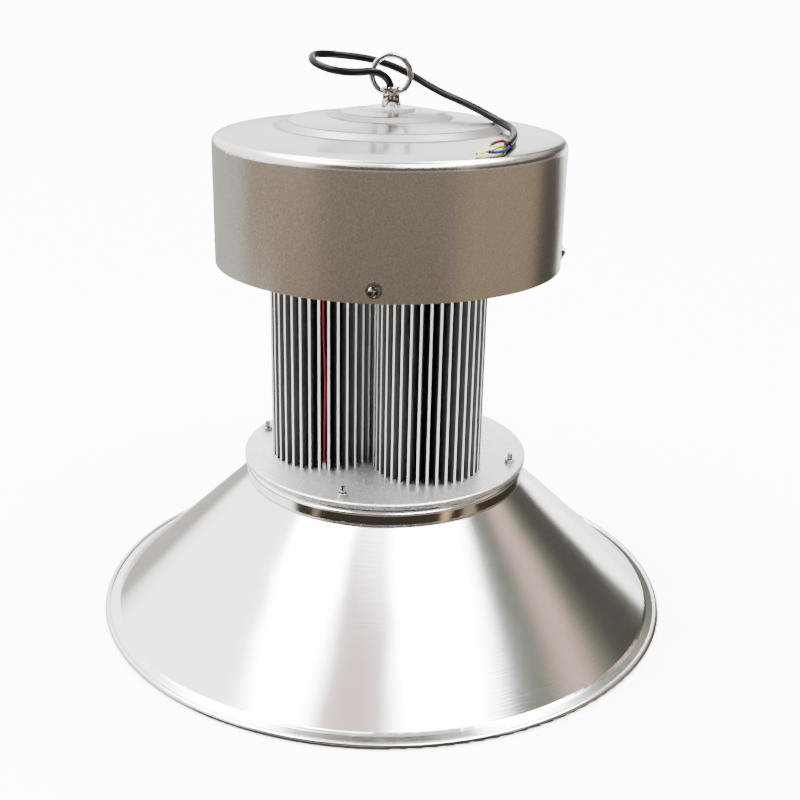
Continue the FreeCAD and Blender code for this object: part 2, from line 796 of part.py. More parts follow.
def hanger_nut():
    """Thin hexagon nut on the hollow stud, under the cover."""
    bottom = cover_hub_height - cover_wall - washer_thickness - hanger_nut_height
    body = hexagon(hanger_nut_flats, hanger_nut_height, bottom, 0)
    return body.cut(cylinder(stud_radius + fine_thread_gap, hanger_nut_height, V(0, 0, bottom)))


# ---------------------------------------------------------------- cord

def above_hub(route, radius):
    """Centre line of a round run whose route gives its underside above the top of the hub."""
    return [V(x, y, cover_hub_height + z + radius) for x, y, z in route]


def cord_bends(points):
    """Each bend is as large as its two runs allow."""
    bends = []
    for before, corner, after in zip(points, points[1:], points[2:]):
        run_in = corner - before
        run_out = after - corner
        half_turn = run_in.getAngle(run_out) / 2
        bends.append(0.45 * min(run_in.Length, run_out.Length) / math.tan(half_turn))
    return bends


def mains_cord_shape():
    points = above_hub(cord_route, cord_radius)
    return round_pipe(points, cord_bends(points), cord_radius)


def mains_cord():
    points = above_hub(cord_route, cord_radius)
    bends = cord_bends(points)
    shape = mains_cord_shape()
    length = Part.Wire(rounded_path(points, bends)).Length
    print("cord bends:", [round(b, 1) for b in bends])
    print("cord length %.1f, volume %.0f, section x length %.0f"
          % (length, shape.Volume, math.pi * cord_radius ** 2 * length))
    return shape


def core_starts(end, inward):
    """Three places for the cores in the face at one end of the sheath."""
    axis = (end - inward).normalize()
    first = axis.cross(V(0, 1, 0)).normalize()
    second = axis.cross(first)
    turns = [math.radians(a) for a in (180, 300, 60)]
    return [end + first * (core_circle * math.cos(t)) + second * (core_circle * math.sin(t)) for t in turns]


def core(place, end, inward, route):
    """Core that leaves the sheath's end squarely at one of its three places."""
    start = core_starts(end, inward)[place]
    points = [start, start + (end - inward).normalize() * core_lead_out] + route
    return round_pipe(points, cord_bends(points), core_radius)


def outer_core(place, route):
    inward, end = above_hub(cord_route[-2:], cord_radius)
    return core(place, end, inward, above_hub(route, core_radius))


def core_brown():
    return outer_core(0, brown_route)


def core_yellow_green():
    return outer_core(1, yellow_green_route)


def core_blue():
    return outer_core(2, blue_route)


def feed_core(place, route, column):
    """Core inside the housing that enters one way of the terminal block from behind."""
    mouth = V(column * block_pitch, block_front + block_depth, tray_top + block_height / 2)
    approach = mouth + V(0, feed_approach, 0)
    end, inward = above_hub(cord_route[:2], cord_radius)
    return core(place, end, inward, above_hub(route, core_radius) + [approach, mouth])


def feed_brown():
    return feed_core(0, feed_brown_route, -1)


def feed_earth():
    return feed_core(1, feed_earth_route, 1)


def feed_blue():
    return feed_core(2, feed_blue_route, 0)


def cord_clamp():
    """Nylon collar that grips the cord below the hollow stud."""
    bottom = above_hub(cord_route[:1], cord_radius)[0].z + 1.0
    body = cylinder(clamp_radius, clamp_height, V(0, 0, bottom))
    edges = [e for e in body.Edges if isinstance(e.Curve, Part.Circle)]
    body = body.makeFillet(1.2, edges)
    return body.cut(mains_cord_shape())


def terminal_block():
    """Three-way screw terminal block with two screw shafts in each way."""
    middle = block_front + block_depth / 2
    shape = box(block_length, block_depth, block_base, 0, middle, tray_top)
    bore_bottom = tray_top + block_height - block_bore_depth
    cuts = [cylinder(m3 + screw_play, block_base, p) for p in block_screw_points(tray_top)]
    for column in (-1, 0, 1):
        x = column * block_pitch
        shape = shape.fuse(box(block_tower, block_depth, block_height, x, middle, tray_top))
        for shift in (-block_depth / 4, block_depth / 4):
            cuts.append(cylinder(block_bore_radius, block_bore_depth, V(x, middle + shift, bore_bottom)))
    return shape.cut(Part.makeCompound(cuts)).removeSplitter()


def block_screw_points(height):
    middle = block_front + block_depth / 2
    return [V(side * (block_length / 2 - block_screw_inset), middle, height) for side in (-1, 1)]


# ---------------------------------------------------------------- fasteners

def reflector_screws():
    seat = shade_top - shade_wall
    return Part.makeCompound([pan_screw(m4, 14.0, p, V(0, 0, -1)) for p in reflector_screw_points(seat)])


def reflector_nuts():
    return Part.makeCompound([hex_nut(m4, p, UP) for p in reflector_screw_points(plate_top)])


def sink_screws_lower():
    screws = []
    for i in range(sink_count):
        screws += [pan_screw(m4, 14.0, p, V(0, 0, -1)) for p in boss_points(i, plate_bottom)]
    return Part.makeCompound(screws)


def sink_screws_upper():
    screws = []
    for i in range(sink_count):
        screws += [pan_screw(m4, 10.0, p, UP) for p in boss_points(i, tray_top)]
    return Part.makeCompound(screws)


def lens_ring_screws():
    screws = []
    for i in range(sink_count):
        seats = ear_points(i, plate_bottom - ring_ear_thickness)
        screws += [pan_screw(m3, 6.0, p, V(0, 0, -1)) for p in seats]
    return Part.makeCompound(screws)


def driver_screws():
    screws = []
    for i in range(sink_count):
        seats = driver_foot_points(i, tray_top + driver_foot_thickness)
        screws += [pan_screw(m4, driver_foot_thickness + tray_wall, p, UP) for p in seats]
    return Part.makeCompound(screws)


def cover_screws():
    screws = []
    for angle in cover_screw_directions():
        seat = polar(cover_radius + cover_washer_thickness, angle, cover_screw_height)
        screws.append(pan_screw(m4, 9.0, seat, outward(angle)))
    return Part.makeCompound(screws)


def cover_washers():
    """Washers under the cover's screws, hollowed to sit on the round side."""
    washers = []
    for angle in cover_screw_directions():
        start = polar(cover_radius - cover_wall, angle, cover_screw_height)
        thickness = cover_washer_thickness + cover_wall
        washer = tube(cover_washer_radius, m4 + screw_play, thickness, start, outward(angle))
        side = cylinder(cover_radius, 4 * cover_washer_radius, V(0, 0, cover_screw_height - 2 * cover_washer_radius))
        washers.append(washer.cut(side))
    return Part.makeCompound(washers)


def block_screws():
    return Part.makeCompound([pan_screw(m3, 5.0, p, UP) for p in block_screw_points(tray_top + block_base)])


def cover_nuts():
    nuts = []
    for angle in cover_screw_directions():
        start = polar(tray_radius - tray_wall - 0.1, angle, cover_screw_height)
        nuts.append(hex_nut(m4, start, outward(angle) * -1))
    return Part.makeCompound(nuts)


# ---------------------------------------------------------------- output

single = [reflector, led_plate, driver_cover, driver_tray, hanger_body, hanger_ring, top_washer,
          inner_washer, hanger_nut, mains_cord, reflector_screws, reflector_nuts, sink_screws_lower,
          sink_screws_upper, lens_ring_screws, driver_screws, cover_screws, cover_washers, cover_nuts,
          lead_bushings, tray_grommets, core_brown, core_blue, core_yellow_green,
          cord_clamp, terminal_block, block_screws, feed_brown, feed_blue, feed_earth]
per_sink = [heat_sink, thermal_pad, led_module, led_emitter, lens_seal, led_lens, lens_ring,
            lead_red, lead_black, driver]

os.makedirs("parts", exist_ok=True)
for maker in single:
    maker().exportStep("parts/%s.step" % maker.__name__)
for maker in per_sink:
    for i in range(sink_count):
        maker(i).exportStep("parts/%s_%d.step" % (maker.__name__, i + 1))
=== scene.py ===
# %% [markdown]
# # High bay light
#
# A high bay light hangs under the roof of a hall.  This lesson takes its packed construction
# model as a fixed frame and gives every part the finish of the real metal, rubber or plastic.
# It also draws the supply cord and its coloured cores, which a construction model leaves plain,
# and sets up the studio in which polished metal looks like polished metal.
#
# The first cell loads the frame.  The parts stay where the frame puts them.

# %% The construction model
import math

import bmesh
import bpy
from mathutils import Matrix, Vector


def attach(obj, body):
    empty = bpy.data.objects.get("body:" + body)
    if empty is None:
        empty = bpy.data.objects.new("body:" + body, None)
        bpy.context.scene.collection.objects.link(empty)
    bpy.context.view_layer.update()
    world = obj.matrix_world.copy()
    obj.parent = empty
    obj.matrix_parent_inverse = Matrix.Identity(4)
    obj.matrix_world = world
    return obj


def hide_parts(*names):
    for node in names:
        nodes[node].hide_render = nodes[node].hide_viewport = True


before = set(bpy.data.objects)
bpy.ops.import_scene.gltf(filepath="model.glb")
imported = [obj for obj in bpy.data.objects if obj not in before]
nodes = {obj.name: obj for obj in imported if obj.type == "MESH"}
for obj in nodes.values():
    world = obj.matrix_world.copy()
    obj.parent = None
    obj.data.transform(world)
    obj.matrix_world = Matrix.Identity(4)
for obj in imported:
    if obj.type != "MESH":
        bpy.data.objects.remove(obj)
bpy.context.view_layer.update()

# %% [markdown]
# ## Shader arithmetic
#
# A finish is mostly arithmetic: a pattern, scaled and shifted, drives the roughness or the
# colour.  A shader tree needs a node for every such step, which is slow to read.  A small
# class that wraps a socket lets the same steps be written as ordinary Python sums.  One method
# adds any other kind of node, and the rest of the class is built on it.

# %% A socket that can be added and multiplied
class Value:
    """An output of a shader node that takes part in Python arithmetic."""

    def __init__(self, socket):
        self.socket = socket

    def node(self, kind, settings=None, inputs=None, output=0):
        """Adds a node of any kind: its settings first, then the values or links of its sockets."""
        tree = self.socket.id_data
        made = tree.nodes.new(kind)
        for name, value in (settings or {}).items():
            if name == "stops":
                ramp = made.color_ramp.elements
                while len(ramp) < len(value):
                    ramp.new(0.5)
                for element, (position, colour) in zip(ramp, value):
                    element.position = position
                    element.color = colour
            else:
                setattr(made, name, value)
        for name, value in (inputs or {}).items():
            if isinstance(value, Value):
                tree.links.new(value.socket, made.inputs[name])
            else:
                made.inputs[name].default_value = value
        return Value(made.outputs[output])

    def math(self, operation, first, second=0.0):
        """A math node; first and second are values or plain numbers."""
        return self.node("ShaderNodeMath", {"operation": operation}, {0: first, 1: second})

    def __add__(self, other):
        return self.math("ADD", self, other)

    __radd__ = __add__

    def __sub__(self, other):
        return self.math("SUBTRACT", self, other)

    def __rsub__(self, other):
        return self.math("SUBTRACT", other, self)

    def __mul__(self, other):
        return self.math("MULTIPLY", self, other)

    __rmul__ = __mul__

    def __truediv__(self, other):
        return self.math("DIVIDE", self, other)

    def __rtruediv__(self, other):
        return self.math("DIVIDE", other, self)

    def __pow__(self, other):
        return self.math("POWER", self, other)

    def __rpow__(self, other):
        return self.math("POWER", other, self)

    def __neg__(self):
        return self.math("SUBTRACT", 0.0, self)

    def __abs__(self):
        return self.math("ABSOLUTE", self)

    def axes(self):
        """The x, y and z of a vector."""
        apart = self.node("ShaderNodeSeparateXYZ", None, {"Vector": self}).socket.node
        return [Value(side) for side in apart.outputs]

    def between(self, low, high):
        """0 below low, 1 above high, and a smooth step in between."""
        return self.node(
            "ShaderNodeMapRange",
            {"interpolation_type": "SMOOTHSTEP"},
            {"Value": self, "From Min": low, "From Max": high},
        )

    def mix(self, first, second):
        """A colour that goes from first to second as this value goes from 0 to 1."""
        inputs = {"Factor": self, 6: first, 7: second}
        return self.node("ShaderNodeMix", {"data_type": "RGBA"}, inputs, output=2)


def distance(x, y):
    """How far the point x, y is from the origin."""
    return (x * x + y * y) ** 0.5


print("shader values add, subtract, multiply, divide and mix")

# %% [markdown]
# ## One way to start every finish
#
# Each part keeps its own place in the frame, so its object coordinates are metres from the
# middle of the rim.  Patterns that start from that place have the right scale everywhere and
# line up from part to part.

# %% A new finish
def colour(red, green, blue):
    """A plain colour, in the form that a socket takes."""
    return (red, green, blue, 1.0)


class Finish:
    """A material, its one shader, and the place in metres that its patterns start from."""

    def __init__(self, name, **constants):
        self.material = bpy.data.materials.new(name)
        self.material.use_nodes = True
        tree = self.material.node_tree
        self.shader = tree.nodes["Principled BSDF"]
        coordinates = tree.nodes.new("ShaderNodeTexCoord")
        self.place = Value(coordinates.outputs["Object"])
        self.feed(**constants)

    def feed(self, **inputs):
        """Sets the shader's sockets; an underscore in a name stands for a space."""
        for name, value in inputs.items():
            socket = self.shader.inputs[name.replace("_", " ")]
            if isinstance(value, Value):
                self.material.node_tree.links.new(value.socket, socket)
            else:
                socket.default_value = value

    def noise(self, scale, detail=3.0, place=None):
        """Soft noise from 0 to 1; scale is in waves per metre."""
        return self.place.node(
            "ShaderNodeTexNoise",
            {"noise_dimensions": "3D"},
            {"Vector": place or self.place, "Scale": scale, "Detail": detail},
        )

    def stretched(self, x, y, z):
        """The place, scaled by its own factor along each axis."""
        inputs = {0: self.place, 1: (x, y, z)}
        return self.place.node("ShaderNodeVectorMath", {"operation": "MULTIPLY"}, inputs)

    def bump(self, height, distance):
        """A relief on the shader's normal: a pattern from 0 to 1, and its depth in metres."""
        relief = self.place.node("ShaderNodeBump", None, {"Height": height, "Distance": distance})
        self.feed(Normal=relief)

    def round_the_axis(self, across, along):
        """A place for turning marks: fine across the lines, long along them, without a seam."""
        x, y, z = self.place.axes()
        return self.place.node(
            "ShaderNodeCombineXYZ", None,
            {0: x * along + distance(x, y) * across, 1: y * along, 2: z * across},
        )


def paint(finish, *names):
    """Puts a finish on parts of the construction model."""
    for name in names:
        part = nodes[name]
        part.data.materials.clear()
        part.data.materials.append(finish.material)
    print(finish.material.name, "->", ", ".join(names))


print("a finish starts at the middle of the rim, in metres")

# %% [markdown]
# ## Spun and brushed metal
#
# The shade is spun from sheet and brushed as it turns, so its fine lines run round the axis and
# its reflections smear up and down the cone.  Aluminium is a clean metal: all of the colour is
# in what it reflects, so the finish only sets how sharp the reflection is.
#
# The sheet has narrow bends between long straight walls.  A modifier lets the walls lead the
# shading, so that no bend breaks up into facets.

# %% Spun shade
shade_metal = Finish("brushed_shade", Metallic=1.0, Anisotropic=0.55)
marks = shade_metal.noise(1.0, place=shade_metal.round_the_axis(900.0, 6.0))
cloud = shade_metal.noise(14.0)
speckle = shade_metal.noise(1500.0, detail=1.0)
shade_metal.feed(
    Roughness=0.055 + 0.045 * marks + 0.05 * cloud,
    Base_Color=speckle.mix(colour(0.82, 0.82, 0.81), colour(0.95, 0.95, 0.94)),
)
shade_metal.bump(0.6 * marks + 0.4 * speckle, 0.00003)
paint(shade_metal, "reflector")
for name in ("reflector", "driver_cover"):
    even = nodes[name].modifiers.new("even_shading", "WEIGHTED_NORMAL")
    even.keep_sharp = True
    even.weight = 60

# %% [markdown]
# ## Satin cover
#
# The driver housing's cover is the same sheet with a satin coat, a shade warmer and duller than
# the cone.  Its stepped top keeps more shine.  A thin dark line of painted shade runs in each
# narrow corner between the steps, and the risers of the steps are painted darker as shade.

# %% Satin cover with painted shade in the corners between the steps
cover_metal = Finish("satin_cover", Metallic=1.0, Anisotropic=0.3)
cover_x, cover_y, cover_z = cover_metal.place.axes()
cover_reach = distance(cover_x, cover_y)
grain = cover_metal.noise(650.0, detail=3.0).between(0.30, 0.70)
haze = cover_metal.noise(22.0)
on_top = cover_z.between(0.392, 0.399)
shade_line_variation = cover_metal.noise(1.0, place=cover_metal.round_the_axis(60.0, 20.0))

corner_radii = ((0.0905, 0.0022), (0.0805, 0.0016), (0.0490, 0.0022), (0.0400, 0.0016), (0.0240, 0.0016))
riser_radii = ((0.0810, 0.0900), (0.0405, 0.0485))
riser_blur = 0.001
corner_lines = sum(
    1.0 - abs(cover_reach - radius).between(0.0002, width)
    for radius, width in corner_radii
)
# Painted shade: the risers between the steps get a darker colour, and they are also rougher.
risers = sum(
    cover_reach.between(inner - riser_blur, inner + riser_blur)
    * (1.0 - cover_reach.between(outer - riser_blur, outer + riser_blur))
    for inner, outer in riser_radii
)
# Painted shade: a thin near-black line in each corner between the steps on top, uneven along its length.
painted_corner_shade = corner_lines * on_top * (0.55 + 0.45 * shade_line_variation)
# clean is the satin colour before the painted shade is laid over it.
clean = grain.mix(colour(0.61, 0.585, 0.56), colour(0.70, 0.68, 0.65))
cover_metal.feed(
    Roughness=0.19 + 0.02 * grain + 0.03 * haze - 0.03 * on_top + 0.12 * risers,
    Base_Color=painted_corner_shade.mix(risers.mix(clean, colour(0.34, 0.33, 0.31)), colour(0.09, 0.08, 0.075)),
)
cover_metal.bump(grain, 0.000001)
paint(cover_metal, "driver_cover")

# %% [markdown]
# ## Blasted plate, and fins with painted shade in their depth
#
# The plate under the fins is blasted with fine grit, so it scatters light and has no direction.
# The fins come from an extrusion die: their lines run straight up.  Only their tips are bright.
# Deep in the gaps the fins are painted near black as shade, and the finish finds that depth from
# the distance to the column's own middle.  So each column has its own copy of the finish.

# %% Plate and fins
plate_metal = Finish("blasted_plate", Metallic=1.0)
blast = plate_metal.noise(750.0, detail=2.0).between(0.30, 0.70)
plate_metal.feed(
    Roughness=0.36 + 0.16 * blast,
    Base_Color=blast.mix(colour(0.64, 0.64, 0.64), colour(0.90, 0.90, 0.90)),
)
plate_metal.bump(blast, 0.00004)
paint(plate_metal, "led_plate", "top_washer", "inner_washer", "driver_tray",
      "driver_1", "driver_2", "driver_3")

column_circle = 0.0518
column_turns = (-78.1, 41.9, 161.9)


def plan_point(radius, turn):
    """A point at that radius, and that many degrees right of the front, seen from above."""
    angle = math.radians(turn)
    return radius * math.sin(angle), -radius * math.cos(angle)


def fin_finish(name, middle):
    """Extruded metal: bright at the fins' tips, painted darker as shade towards the middle of the column.
    """
    made = Finish(name, Anisotropic=0.5, Anisotropic_Rotation=0.25, Specular_IOR_Level=0.12)
    x, y, _ = made.place.axes()
    reach = distance(x - middle[0], y - middle[1])
    bright = reach.between(0.04415, 0.04440)
    depth = reach.between(0.020, 0.0435)
    lines = made.noise(1.0, place=made.stretched(1500.0, 1500.0, 8.0))
    tip = lines.mix(colour(0.50, 0.50, 0.50), colour(0.68, 0.68, 0.67))
    # Painted shade: the fins' sides are near black, a little lighter towards the tips where the gaps are
    # shallow.
    side = depth.mix(colour(0.012, 0.012, 0.012), colour(0.045, 0.044, 0.042))
    made.feed(
        Metallic=0.35 + 0.25 * bright,
        Roughness=0.30 + 0.14 * lines,
        Base_Color=bright.mix(side, tip),
    )
    return made


for number, turn in enumerate(column_turns, 1):
    middle = plan_point(column_circle, turn)
    paint(fin_finish("extruded_fins_%d" % number, middle), "heat_sink_%d" % number)

ring_metal = Finish("turned_ring", Metallic=1.0, Anisotropic=0.5)
turning = ring_metal.noise(900.0)
ring_metal.feed(
    Roughness=0.26 + 0.12 * turning,
    Base_Color=turning.mix(colour(0.80, 0.80, 0.81), colour(0.90, 0.90, 0.90)),
)
paint(ring_metal, "lens_ring_1", "lens_ring_2", "lens_ring_3")

# %% [markdown]
# ## Bright fittings
#
# The ring is plated and almost a mirror.  The fitting that holds it is polished by hand, so its
# faces waver, and its colour carries painted reflections: near-black and near-white patches.
# Screws and nuts have plain zinc, which is duller and a little yellow.

# %% Chrome, polished metal and zinc
chrome = Finish("bright_chrome", Metallic=1.0, Base_Color=colour(0.48, 0.47, 0.47))
film = chrome.noise(300.0)
chrome.feed(Roughness=0.04 + 0.05 * film)
chrome.bump(chrome.noise(260.0, detail=1.0), 0.00012)
paint(chrome, "hanger_ring", "hanger_nut")

polished = Finish("polished_fitting", Metallic=1.0)
# Painted reflections: the fitting's colour is laid in near-black and near-white patches.
painted_glint_pattern = polished.noise(420.0)
polished.feed(
    Base_Color=painted_glint_pattern.between(0.40, 0.56).mix(colour(0.10, 0.09, 0.08), colour(0.92, 0.92, 0.92)),
    Roughness=0.05 + 0.08 * painted_glint_pattern,
)
polished.bump(polished.noise(300.0, detail=2.0), 0.0006)
paint(polished, "hanger_body", "cover_screws")

zinc = Finish("plated_screws", Metallic=1.0)
plating = zinc.noise(600.0)
zinc.feed(
    Base_Color=plating.mix(colour(0.20, 0.19, 0.17), colour(0.48, 0.47, 0.44)),
    Roughness=0.08 + 0.08 * plating,
)
zinc.bump(zinc.noise(420.0, detail=1.0), 0.0004)
paint(zinc, "reflector_screws", "reflector_nuts", "sink_screws_lower", "sink_screws_upper",
      "lens_ring_screws", "driver_screws", "cover_washers", "cover_nuts", "block_screws")

# %% [markdown]
# ## Rubber and plastic
#
# Black rubber reflects very little, apart from a thin clear skin that gives the cord one narrow
# light.  The insulation of the leads and cores is glossier and strongly coloured.

# %% Rubber and plastics
rubber = Finish("black_rubber", Specular_IOR_Level=0.015, Coat_Weight=0.14, Coat_Roughness=0.06)
dust = rubber.noise(700.0)
rubber.feed(
    Base_Color=dust.mix(colour(0.001, 0.001, 0.001), colour(0.003, 0.003, 0.003)),
    Roughness=0.15 + 0.12 * dust,
)
paint(rubber, "cord_clamp", "tray_grommets", "lead_black_1", "lead_black_2", "lead_black_3")


def plastic(name, red, green, blue, gloss=0.35):
    """Coloured plastic, a little uneven in shade and in gloss."""
    made = Finish(name, Specular_IOR_Level=0.20)
    shade = made.noise(500.0)
    made.feed(Base_Color=shade.mix(colour(red * 0.8, green * 0.8, blue * 0.8), colour(red, green, blue)),
              Roughness=gloss + 0.1 * shade)
    return made


white_nylon = plastic("white_nylon", 0.85, 0.85, 0.82)
brown_core = plastic("brown_core", 0.034, 0.002, 0.001)
blue_core = plastic("blue_core", 0.006, 0.003, 0.045)
paint(plastic("red_lead", 0.13, 0.001, 0.003), "lead_red_1", "lead_red_2", "lead_red_3")
paint(white_nylon, "terminal_block", "led_module_1", "led_module_2", "led_module_3",
      "lens_seal_1", "lens_seal_2", "lens_seal_3")
paint(brown_core, "feed_brown")
paint(blue_core, "feed_blue")
paint(plastic("grey_pad", 0.4, 0.42, 0.45), "thermal_pad_1", "thermal_pad_2", "thermal_pad_3")

# %% [markdown]
# ## Guides for the leads
#
# Each lead passes a nylon guide in the plate: a light one for the red lead and a dark one for
# the black.  Both kinds are one part here, so the finish asks how near each red lead is.
#
# The insulation of the leads is thin, so a modifier draws their rods in a little.

# %% Light and dark guides
guide_nylon = Finish("guide_nylon", Specular_IOR_Level=0.20, Roughness=0.45)
red_turns = (1.4, 63.8, 175.0)
red_reach = 0.0395
guide_x, guide_y, _ = guide_nylon.place.axes()
near_red = 0.0
for column_turn, red_turn in zip(column_turns, red_turns):
    column_x, column_y = plan_point(column_circle, column_turn)
    red_x, red_y = plan_point(red_reach, red_turn)
    off = distance(guide_x - (column_x + red_x), guide_y - (column_y + red_y))
    near_red = near_red + (1.0 - off.between(0.0024, 0.0028))
guide_nylon.feed(Base_Color=near_red.mix(colour(0.004, 0.004, 0.004), colour(0.30, 0.29, 0.27)))
paint(guide_nylon, "lead_bushings")

insulation_drawn_in = 0.0003
for number in (1, 2, 3):
    for shade in ("red", "black"):
        draw_in = nodes["lead_%s_%d" % (shade, number)].modifiers.new("thin_insulation", "DISPLACE")
        draw_in.mid_level = 0.0
        draw_in.strength = -insulation_drawn_in
print("leads drawn in by", insulation_drawn_in * 1000, "mm")

# %% [markdown]
# ## The earth core's two colours
#
# An earth core is yellow with green stripes that run along it.  The stripe needs a direction
# across the core, and the way the surface faces is enough: green on the right flank, yellow round
# the rest.

# %% Striped earth core
striped_core = Finish("yellow_green_core", Roughness=0.38, Specular_IOR_Level=0.20)
facing_x, _, _ = striped_core.place.node("ShaderNodeNewGeometry", output=1).axes()
stripe = facing_x.between(0.62, 0.78)
striped_core.feed(Base_Color=stripe.mix(colour(0.30, 0.285, 0.0005), colour(0.09, 0.20, 0.006)))
paint(striped_core, "feed_earth")

# %% [markdown]
# ## The LEDs behind their lenses
#
# Each LED is one yellow field of phosphor under a clear moulded dome.  The lamp isn't lit.

# %% Phosphor and lenses
phosphor = Finish("phosphor", Roughness=0.45)
dies_per_metre = 520.0
die_grid = phosphor.place.node(
    "ShaderNodeTexVoronoi",
    {"distance": "CHEBYCHEV"},
    {"Vector": phosphor.place, "Scale": dies_per_metre, "Randomness": 0.0},
)
die_edges = die_grid.between(0.20, 0.42)
phosphor.feed(Base_Color=die_edges.mix(colour(0.95, 0.80, 0.22), colour(0.80, 0.55, 0.08)))
paint(phosphor, "led_emitter_1", "led_emitter_2", "led_emitter_3")

acrylic_index = 1.49
lens_clear = Finish(
    "clear_lens", Roughness=0.03, Transmission_Weight=1.0,
    IOR=acrylic_index, Base_Color=colour(0.97, 0.98, 0.99),
)
paint(lens_clear, "led_lens_1", "led_lens_2", "led_lens_3")

# %% [markdown]
# ## The supply cord's way
#
# The cord rises through the fitting, leans over to the left, loops back behind the ring and runs
# down over the dome to the right.  Its way is a list of points in millimetres, and one smooth
# line follows them.

# %% The cord's way, and a round line that follows it
cord_route = [
    (0.3, 0.4, 388), (0.1, 0.1, 405), (0.1, 0, 422), (0, -0.4, 438.4), (-11, -8, 447), (-28.5, -12, 445.5),
    (-46, -12, 447), (-62, 5.5, 451.5), (-62.5, 31, 456), (-44, 50, 454), (-16, 54, 451), (11, 49, 442.5),
    (37, 33, 428.5), (61, 12, 421), (82, -4, 411.7), (92.5, -28, 408.3), (92, -53, 407), (89, -75, 405.5),
    (83.5, -92, 404.4),
]


def smooth_line(name, route, radius, finish, body="lamp"):
    """A round cord on one NURBS line whose control points are the route's, given in millimetres."""
    data = bpy.data.curves.new(name, "CURVE")
    data.dimensions = "3D"
    line = data.splines.new("NURBS")
    line.points.add(len(route) - 1)
    for point, place in zip(line.points, route):
        point.co = (*(0.001 * c for c in place), 1.0)
    line.order_u = 3
    line.use_endpoint_u = True
    line.resolution_u = 12
    data.bevel_depth = radius
    data.bevel_resolution = 6
    data.use_fill_caps = True
    piece = bpy.data.objects.new(name, data)
    bpy.context.scene.collection.objects.link(piece)
    data.materials.append(finish.material)
    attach(piece, body)
    return piece


# %% [markdown]
# ## Cores with stripped ends
#
# Beyond the cut end of the sheath three cores fan out.  Each has its place round the sheath's
# middle, in degrees, its stripped length and its way, in millimetres.  The insulation is one
# smooth line that stops where the stripping starts, and seven fine copper strands go on from
# there with a slight twist.

# %% Cores and strands
copper = Finish("copper_strand", Metallic=1.0, Roughness=0.30)
tarnish = copper.noise(900.0)
copper.feed(Base_Color=tarnish.mix(colour(0.16, 0.06, 0.03), colour(0.45, 0.22, 0.12)))

sheath_end = Vector(cord_route[-1])
sheath_way = (sheath_end - Vector(cord_route[-2])).normalized()
first_side = sheath_way.cross(Vector((0, 1, 0))).normalized()
second_side = sheath_way.cross(first_side)
core_offset = 1.35
core_run_out = 3.5
core_ends = {
    "core_brown": (
        180, 2.6, [(80.8, -99, 408.6), (76, -103, 409.2), (71.5, -105.5, 407.6), (69, -107, 405.4)],
    ),
    "core_yellow_green": (
        300, 0.9, [(77.6, -98.6, 405), (73, -105, 404), (67, -110.5, 402.9), (59.5, -116, 401.9)],
    ),
    "core_blue": (
        60, 2.2, [(81.6, -101.2, 402.6), (77, -107, 402.2), (71.5, -110, 402.2), (67, -113, 403.2)],
    ),
}


def strands(name, start, way, reach):
    """A bundle of seven copper wires: six wind round the middle one."""
    tree = bmesh.new()
    side = way.orthogonal().normalized()
    other = way.cross(side)
    rows, corners = 9, 6
    wire_radius, bundle_radius = 0.0002, 0.00042
    twist, shorter = 70, 0.93
    for wire in range(7):
        offset = 0.0 if wire == 0 else bundle_radius
        loops = []
        for row in range(rows):
            along = row / (rows - 1)
            angle = math.radians(60 * wire + twist * along)
            middle = start + way * (reach * (along if wire % 2 else along * shorter))
            middle = middle + (side * math.cos(angle) + other * math.sin(angle)) * offset
            loops.append([
                tree.verts.new(middle + (side * math.cos(t) + other * math.sin(t)) * wire_radius)
                for t in (math.tau * k / corners for k in range(corners))
            ])
        for low, high in zip(loops, loops[1:]):
            for k in range(corners):
                following = (k + 1) % corners
                tree.faces.new((low[k], low[following], high[following], high[k])).smooth = True
        tree.faces.new(loops[0][::-1])
        tree.faces.new(loops[-1])
    data = bpy.data.meshes.new(name)
    tree.to_mesh(data)
    tree.free()
    piece = bpy.data.objects.new(name, data)
    bpy.context.scene.collection.objects.link(piece)
    data.materials.append(copper.material)
    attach(piece, "lamp")
    return piece


core_finish = {"core_brown": brown_core, "core_yellow_green": striped_core, "core_blue": blue_core}
core_radius = 0.0012
hidden = 0.6
cord_pieces = []
for name, (turn, stripped, route) in core_ends.items():
    angle = math.radians(turn)
    aside = first_side * math.cos(angle) + second_side * math.sin(angle)
    start = sheath_end + aside * core_offset
    points = [start, start + sheath_way * core_run_out] + [Vector(p) for p in route]
    end = points[-1]
    way = (end - points[-2]).normalized()
    points[-1] = end - way * stripped
    sleeve_route = [tuple(p) for p in points]
    insulation = smooth_line(name + "_sleeve", sleeve_route, core_radius, core_finish[name])
    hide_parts(name)
    root = (points[-1] - way * hidden) * 0.001
    wires = strands(name + "_strands", root, way, (stripped + hidden) * 0.001)
    cord_pieces += [insulation, wires]
print("core pieces:", [piece.name for piece in cord_pieces])

# %% [markdown]
# ## The cord itself
#
# The sheath is one round line along the cord's way, and the construction model's own cord is
# hidden.

# %% Sheath
sheath = smooth_line("cord_sheath", cord_route, 0.003, rubber)
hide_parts("mains_cord")
print("cord:", sheath.name, "with", len(cord_pieces), "pieces")

# %% [markdown]
# ## The floor
#
# The rim stands on a plain pale floor that reaches to the horizon.  Polished metal doesn't show
# this floor: its share of the reflections comes from the surroundings below.

